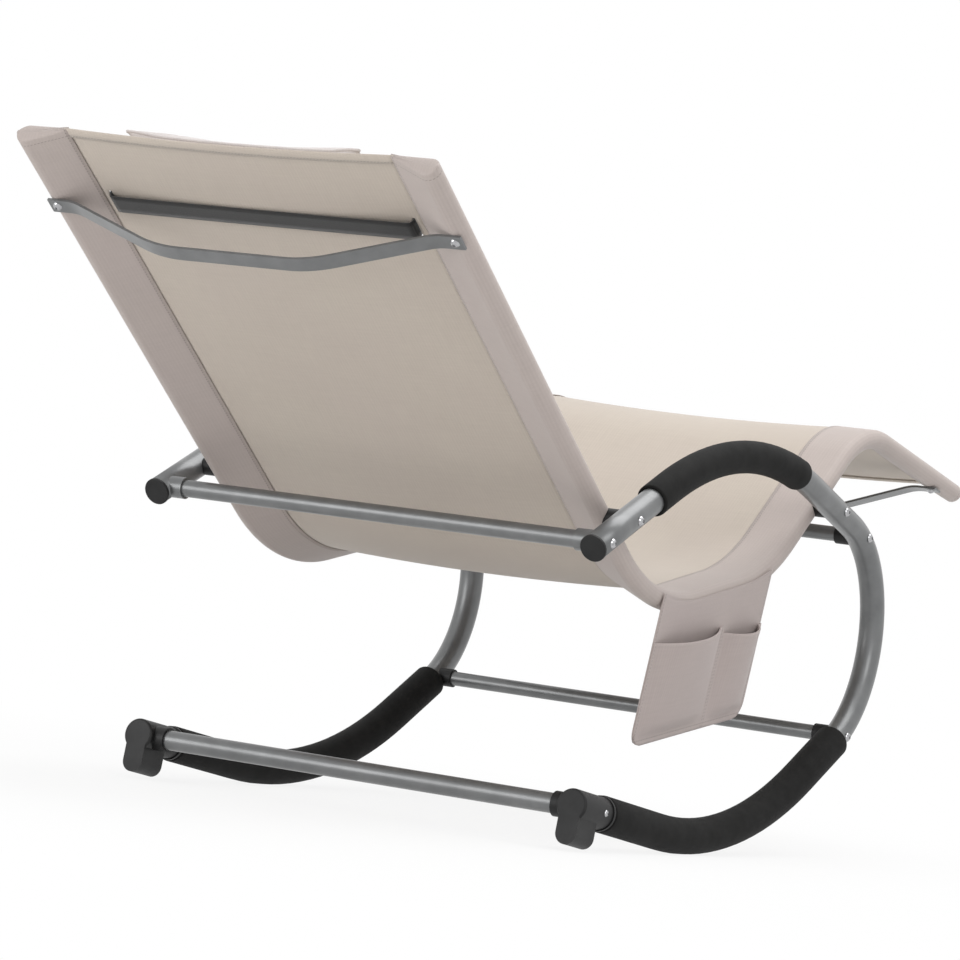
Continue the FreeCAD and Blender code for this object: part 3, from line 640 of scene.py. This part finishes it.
pillow = pillow_bag()
fill_bag(pillow, filling_reach)
reach = [max(abs(vert.co[axis]) for vert in pillow.data.vertices) for axis in range(3)]
fitted = Matrix.Diagonal([min(1.0, most / far) for most, far in zip(pillow_most, reach)] + [1.0])
laid_flat = Matrix(((1, 0, 0, 0), (0, 0, 1, pillow_lift), (0, 1, 0, 0), (0, 0, 0, 1)))
on_panel = rail_line.place(pillow_station) @ laid_flat
pillow_mesh = bmesh.new()
pillow_mesh.from_mesh(pillow.data)
bpy.data.objects.remove(pillow)
bmesh.ops.transform(pillow_mesh, matrix=on_panel @ fitted, verts=pillow_mesh.verts)
for _ in range(3):
    bmesh.ops.smooth_vert(pillow_mesh, verts=pillow_mesh.verts, factor=0.5,
                          use_axis_x=True, use_axis_y=True, use_axis_z=True)
edge_mesh = pillow_mesh.copy()
chart_flat(pillow_mesh, on_panel)
pillow_cloth = textilene("textilene_pillow", pillow_dark, pillow_light)
pillow = finished("head_pillow_cushion", pillow_mesh, pillow_cloth, "chair")
soften = pillow.modifiers.new("soft_surface", "SUBSURF")
soften.levels = soften.render_levels = 1
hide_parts("head_pillow")


def sewn_edge(mesh, at):
    """The points of the seam round the pillow's waist, in order."""
    bmesh.ops.bisect_plane(mesh, geom=[*mesh.verts, *mesh.edges, *mesh.faces], plane_co=at.translation,
                           plane_no=at.to_3x3() @ Vector((0, 0, 1)), clear_inner=True, clear_outer=True)
    bmesh.ops.remove_doubles(mesh, verts=mesh.verts, dist=0.0005)
    here = mesh.verts[:][0]
    order, seen = [here], {here}
    while True:
        onward = [edge.other_vert(here) for edge in here.link_edges if edge.other_vert(here) not in seen]
        if not onward:
            break
        here = onward[0]
        seen.add(here)
        order.append(here)
    points = [vert.co.copy() for vert in order]
    mesh.free()
    return points


def piping_round(points):
    """A thin closed roll of cloth along the seam."""
    line = bpy.data.curves.new("pillow_piping_line", "CURVE")
    line.dimensions = "3D"
    line.bevel_depth = piping_radius
    line.bevel_resolution = 3
    run = line.splines.new("POLY")
    run.points.add(len(points) - 1)
    for point, place in zip(run.points, points):
        point.co = (*place, 1)
    run.use_cyclic_u = True
    roll = bpy.data.objects.new("pillow_piping_line", line)
    bpy.context.scene.collection.objects.link(roll)
    mesh = bmesh.new()
    mesh.from_mesh(bpy.data.meshes.new_from_object(roll))
    bpy.data.objects.remove(roll)
    for layer in list(mesh.loops.layers.uv.values()):
        mesh.loops.layers.uv.remove(layer)
    return mesh


piping_mesh = piping_round(sewn_edge(edge_mesh, on_panel))
chart_flat(piping_mesh, on_panel)
piping = finished("pillow_piping", piping_mesh, pillow_cloth, "chair")


# Pillow strap: 26 mm black elastic webbing, sewn to both ends of the pillow. It goes through the
# slits in the panel and runs straight across behind it.

strap_end = 0.1604
rib_angle_per_metre = 4200
webbing_wall = 0.0014
webbing_dark, webbing_light = (0.009, 0.009, 0.009), (0.026, 0.025, 0.025)


def webbing():
    band = Finish("black_webbing", 0.75, sheen=0.3, gloss=0.3)
    split = band.node("ShaderNodeSeparateXYZ")
    band.link(band.coordinates.outputs["Object"], split.inputs["Vector"])
    waves = band.compute("SINE", band.compute("MULTIPLY", split.outputs["X"], rib_angle_per_metre))
    ribs = band.compute("MULTIPLY_ADD", waves, 0.5, 0.5)
    fuzz = band.noise(900, 2)
    band.shades(band.compute("MULTIPLY_ADD", ribs, 0.6, band.compute("MULTIPLY", fuzz, 0.4)),
                webbing_dark, webbing_light)
    band.bump(ribs, 0.5, 0.0003)
    return band.material


behind = seam_height - cloth / 2 - panel_sag - webbing_wall
half_band = [(strap_end, pillow_lift), (0.174, pillow_lift - 0.0025), (0.188, pillow_lift - 0.0075),
             (0.1965, pillow_lift - 0.0135), (slit_x, seam_height + 0.004), (slit_x, seam_height - 0.003),
             (0.1975, behind + 0.0008), (0.192, behind), (0.150, behind - 0.0002), (0.100, behind - 0.0004),
             (0.050, behind - 0.0005), (0.0, behind - 0.0006)]
band_line = half_band + [(-x, up) for x, up in reversed(half_band[:-1])]
band_at = rail_line.place(strap_station)
band_mesh = bmesh.new()
band_start = [Vector((*band_line[0], strap_width * (n / 4 - 0.5))) for n in range(5)]
edge_verts = [band_mesh.verts.new(band_at @ place) for place in band_start]
row = [band_mesh.edges.new(pair) for pair in zip(edge_verts, edge_verts[1:])]
for before, after in zip(band_line, band_line[1:]):
    verts, row = grown(bmesh.ops.extrude_edge_only(band_mesh, edges=row)["geom"])
    bmesh.ops.translate(band_mesh, verts=verts,
                        vec=band_at.to_3x3() @ Vector((after[0] - before[0], after[1] - before[1], 0)))
band = finished("pillow_strap_band", band_mesh, webbing(), "chair")
thicken(band, webbing_wall)
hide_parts("pillow_strap")


# Side pocket: a back sheet sewn below the right-hand rail, and a front sheet gathered into a small
# compartment and a large one. The lips are hemmed, one seam parts the compartments and another
# closes the bottom. Its sewn top edge is a hinge of cloth, so it swings on a body of its own.

back_station, front_station = 0.783, 1.080
pocket_depth = 0.184
pocket_lean = 0.23
pocket_tuck = math.radians(4.5)
pocket_corner = 0.022
pocket_wall = 0.0013
pocket_off_rail = 0.013
pocket_dark, pocket_light = (0.372, 0.318, 0.296), (0.455, 0.395, 0.370)
divider = 0.108
divider_stitch = 0.002
bottom_stitch = 0.0065
lips = {"small": 0.068, "large": 0.060}
lip_droop = 0.003
lip_hem = 0.008
bulges = {"small": 0.018, "large": 0.020}
low_bulge = 0.006
bulge_foot = 0.174
side_seam = 0.006
bottom_seam, bottom_rise = 0.009, 0.016
sheet_gap = 0.0010
on_seam = Vector((0, 0.004, 0))
seam_front = rail_line.place(front_station) @ on_seam
seam_back = rail_line.place(back_station) @ on_seam
pocket_length = (seam_back - seam_front).length


def hang():
    """Where the pocket hangs: local x rearward along the seam, y down, z out of the chair."""
    rearward = (seam_back - seam_front).normalized()
    plumb = Vector((0, rearward.z, -rearward.y))
    down = plumb * math.cos(pocket_tuck) + Vector((math.sin(pocket_tuck), 0, 0))
    out = rearward.cross(down)
    stations = [back_station + (front_station - back_station) * n / 24 for n in range(25)]
    dip = max((rail_line.place(station).translation - seam_front).dot(plumb) for station in stations)
    x = -(rail_half_width + pocket_off_rail / math.cos(pocket_tuck) + dip * math.tan(pocket_tuck))
    return Matrix(((rearward.x, down.x, out.x, x), (rearward.y, down.y, out.y, seam_front.y),
                   (rearward.z, down.z, out.z, seam_front.z), (0, 0, 0, 1)))


def seam_dip(along):
    """How far below its straight line the sewn edge follows the curve of the rail."""
    station = front_station + (back_station - front_station) * along / pocket_length
    on_rail = rail_line.place(station) @ on_seam
    return max(0.0, (pocket_at.inverted() @ Vector((pocket_at.translation.x, on_rail.y, on_rail.z))).y)


def compartment(along):
    """Name, start and end of the compartment at a length along the pocket."""
    return ("small", 0.0, divider) if along < divider else ("large", divider, pocket_length)


def lip_line(along):
    name, start, end = compartment(along)
    share = (along - start) / (end - start) * 2 - 1
    return lips[name] + lip_droop * (1 - share * share)


def stand_out(along, depth):
    """How far the front sheet stands out: wide at the lip, and drawn flat by the seams."""
    name, start, end = compartment(along)
    beside = min(1.0, abs(along - (start + end) / 2) / ((end - start) / 2 - side_seam))
    fall = min(1.0, max(0.0, (depth - lips[name]) / (bulge_foot - lips[name])))
    above_seam = min(1.0, max(0.0, (pocket_depth - bottom_seam - depth) / bottom_rise))
    swell = (bulges[name] * (1 - fall) + low_bulge * fall) * math.sin(above_seam * math.pi / 2)
    return cloth + sheet_gap + swell * (1 - beside ** 2.2)


def pocket_sheet(columns, rows, top, level):
    """A sheet shaped to the pocket, from its top edge to the round-cornered bottom, and how far
    along and down each of its points was cut."""
    mesh = bmesh.new()
    bmesh.ops.create_grid(mesh, x_segments=columns, y_segments=rows, size=0.5)
    uv = mesh.loops.layers.uv.new("cloth")
    cut = {}
    for vert in mesh.verts:
        along, share = (vert.co.x + 0.5) * pocket_length, 0.5 - vert.co.y
        depth = top(along) + share * (pocket_depth - top(along))
        over = max(0.0, depth - pocket_depth + pocket_corner)
        inset = pocket_corner - math.sqrt(max(0.0, pocket_corner ** 2 - over ** 2))
        placed = pocket_length / 2 + (along - pocket_length / 2) * (1 - 2 * inset / pocket_length)
        cut[vert] = (placed, depth)
        vert.co = Vector((placed + pocket_lean * depth, depth, level(along, depth)))
    for face in mesh.faces:
        for loop in face.loops:
            loop[uv].uv = cut[loop.vert]
    return mesh, cut


def turn_lip(mesh, cut):
    """Folds the cut lip inwards and down, as a hem."""
    row = [edge for edge in mesh.edges if edge.is_boundary
           and all(cut[vert][1] < lip_line(cut[vert][0]) + 1e-5 for vert in edge.verts)]
    half_hem = (0.0009, lip_hem / 2, 0)
    for shift in ((0, -0.0004, -0.0008), (0, 0.0004, -0.0008), half_hem, half_hem):
        verts, row = grown(bmesh.ops.extrude_edge_only(mesh, edges=row)["geom"])
        bmesh.ops.translate(mesh, verts=verts, vec=shift)


def hang_sheet(name, mesh, material):
    bmesh.ops.transform(mesh, matrix=pocket_at, verts=mesh.verts)
    made = finished(name, mesh, material, "pocket")
    thicken(made, pocket_wall)
    return made


pocket_at = hang()
side_stitches = (stitch_inset, pocket_length - stitch_inset)
divider_stitches = (divider - divider_stitch, divider + divider_stitch)
bottom_stitches = (pocket_depth - bottom_stitch,)
back_cloth = textilene("textilene_pocket_back", pocket_dark, pocket_light, side_stitches, bottom_stitches)
back_mesh, _ = pocket_sheet(60, 40, seam_dip, lambda along, depth: cloth / 2)
pocket_back = hang_sheet("pocket_back_sheet", back_mesh, back_cloth)
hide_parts("pocket_back")

front_cloth = textilene("textilene_pocket_front", pocket_dark, pocket_light,
                        (side_stitches[0], *divider_stitches, side_stitches[1]), bottom_stitches)
front_mesh, front_cut = pocket_sheet(118, 48, lip_line, stand_out)
turn_lip(front_mesh, front_cut)
pocket_front = hang_sheet("pocket_front_sheet", front_mesh, front_cloth)
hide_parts("pocket_front")


# Studio: a plain pale floor that fades into a white background, soft light from above and from
# behind on both sides, and the camera, low behind the chair on its right and rolled a little.

floor_radius = 14
fade_start, fade_end = 0.3, 1.6
whiteness_near = 0.86
room_light = 0.55
camera_lens = 165
camera_place = Vector((-2.6382, 4.7813, 0.2990))


def backdrop_rays(tree):
    """1 for the rays that see the studio itself, 0 for those that carry its light to the chair."""
    path = tree.nodes.new("ShaderNodeLightPath")
    seen = path.outputs["Is Camera Ray"]
    for ray in ("Is Glossy Ray", "Is Transmission Ray"):
        either = tree.nodes.new("ShaderNodeMath")
        either.operation = "MAXIMUM"
        tree.links.new(seen, either.inputs[0])
        tree.links.new(path.outputs[ray], either.inputs[1])
        seen = either.outputs["Value"]
    return seen


def pale_floor():
    floor = Finish("pale_floor", 0.9)
    floor.shader.inputs["Base Color"].default_value = (0.8, 0.8, 0.8, 1)
    white = floor.node("ShaderNodeEmission")
    distance = floor.node("ShaderNodeVectorMath", operation="LENGTH")
    floor.link(floor.coordinates.outputs["Object"], distance.inputs[0])
    fade = floor.node("ShaderNodeMapRange", interpolation_type="SMOOTHSTEP")
    for socket, value in (("From Min", fade_start), ("From Max", fade_end), ("To Min", whiteness_near)):
        fade.inputs[socket].default_value = value
    floor.link(distance.outputs["Value"], fade.inputs["Value"])
    mix = floor.node("ShaderNodeMixShader")
    white_share = floor.compute("MULTIPLY", backdrop_rays(floor.tree), fade.outputs["Result"])
    floor.link(white_share, mix.inputs["Fac"])
    floor.link(floor.shader.outputs["BSDF"], mix.inputs[1])
    floor.link(white.outputs["Emission"], mix.inputs[2])
    floor.link(mix.outputs["Shader"], floor.tree.nodes["Material Output"].inputs["Surface"])
    return floor.material


floor_mesh = bmesh.new()
bmesh.ops.create_circle(floor_mesh, cap_ends=True, segments=96, radius=floor_radius)
floor_data = bpy.data.meshes.new("studio_floor")
floor_mesh.to_mesh(floor_data)
floor_mesh.free()
floor_data.materials.append(pale_floor())
studio_floor = bpy.data.objects.new("studio_floor", floor_data)
bpy.context.scene.collection.objects.link(studio_floor)

world = bpy.data.worlds.new("studio")
world.use_nodes = True
bpy.context.scene.world = world
tree = world.node_tree
tree.nodes.clear()
surround = tree.nodes.new("ShaderNodeBackground")
surround.inputs["Color"].default_value = (1, 1, 1, 1)
surround.inputs["Strength"].default_value = room_light
backdrop = tree.nodes.new("ShaderNodeBackground")
backdrop.inputs["Color"].default_value = (1, 1, 1, 1)
mixed = tree.nodes.new("ShaderNodeMixShader")
tree.links.new(backdrop_rays(tree), mixed.inputs["Fac"])
tree.links.new(surround.outputs["Background"], mixed.inputs[1])
tree.links.new(backdrop.outputs["Background"], mixed.inputs[2])
tree.links.new(mixed.outputs["Shader"], tree.nodes.new("ShaderNodeOutputWorld").inputs["Surface"])


def softbox(name, place, aim, size, power):
    data = bpy.data.lights.new(name, "AREA")
    data.shape = "RECTANGLE"
    data.size, data.size_y = size
    data.energy = power
    lamp = bpy.data.objects.new(name, data)
    lamp.location = place
    lamp.rotation_euler = (Vector(aim) - Vector(place)).to_track_quat("-Z", "Y").to_euler()
    bpy.context.scene.collection.objects.link(lamp)


softbox("overhead_softbox", (-0.6, -0.6, 3.0), (0, 0, 0.4), (2.6, 2.6), 62)
softbox("camera_side_softbox", (-3.0, 2.4, 1.8), (0, 0, 0.35), (1.8, 1.8), 34)
softbox("rear_fill", (1.8, 3.2, 0.9), (0, 0.2, 0.5), (1.8, 1.8), 42)

camera_data = bpy.data.cameras.new("photo_camera")
camera_data.sensor_fit = "HORIZONTAL"
camera_data.sensor_width = 36
camera_data.lens = camera_lens
camera = bpy.data.objects.new("photo_camera", camera_data)
camera_right = Vector((-0.86529, -0.48288, 0.13458)).normalized()
camera_up = Vector((0.10686, 0.08462, 0.99067)).normalized()
turn = Matrix((camera_right, camera_up, camera_right.cross(camera_up))).transposed().to_4x4()
camera.matrix_world = Matrix.Translation(camera_place) @ turn
bpy.context.scene.collection.objects.link(camera)
bpy.context.scene.camera = camera
bpy.context.scene.view_settings.view_transform = "Standard"
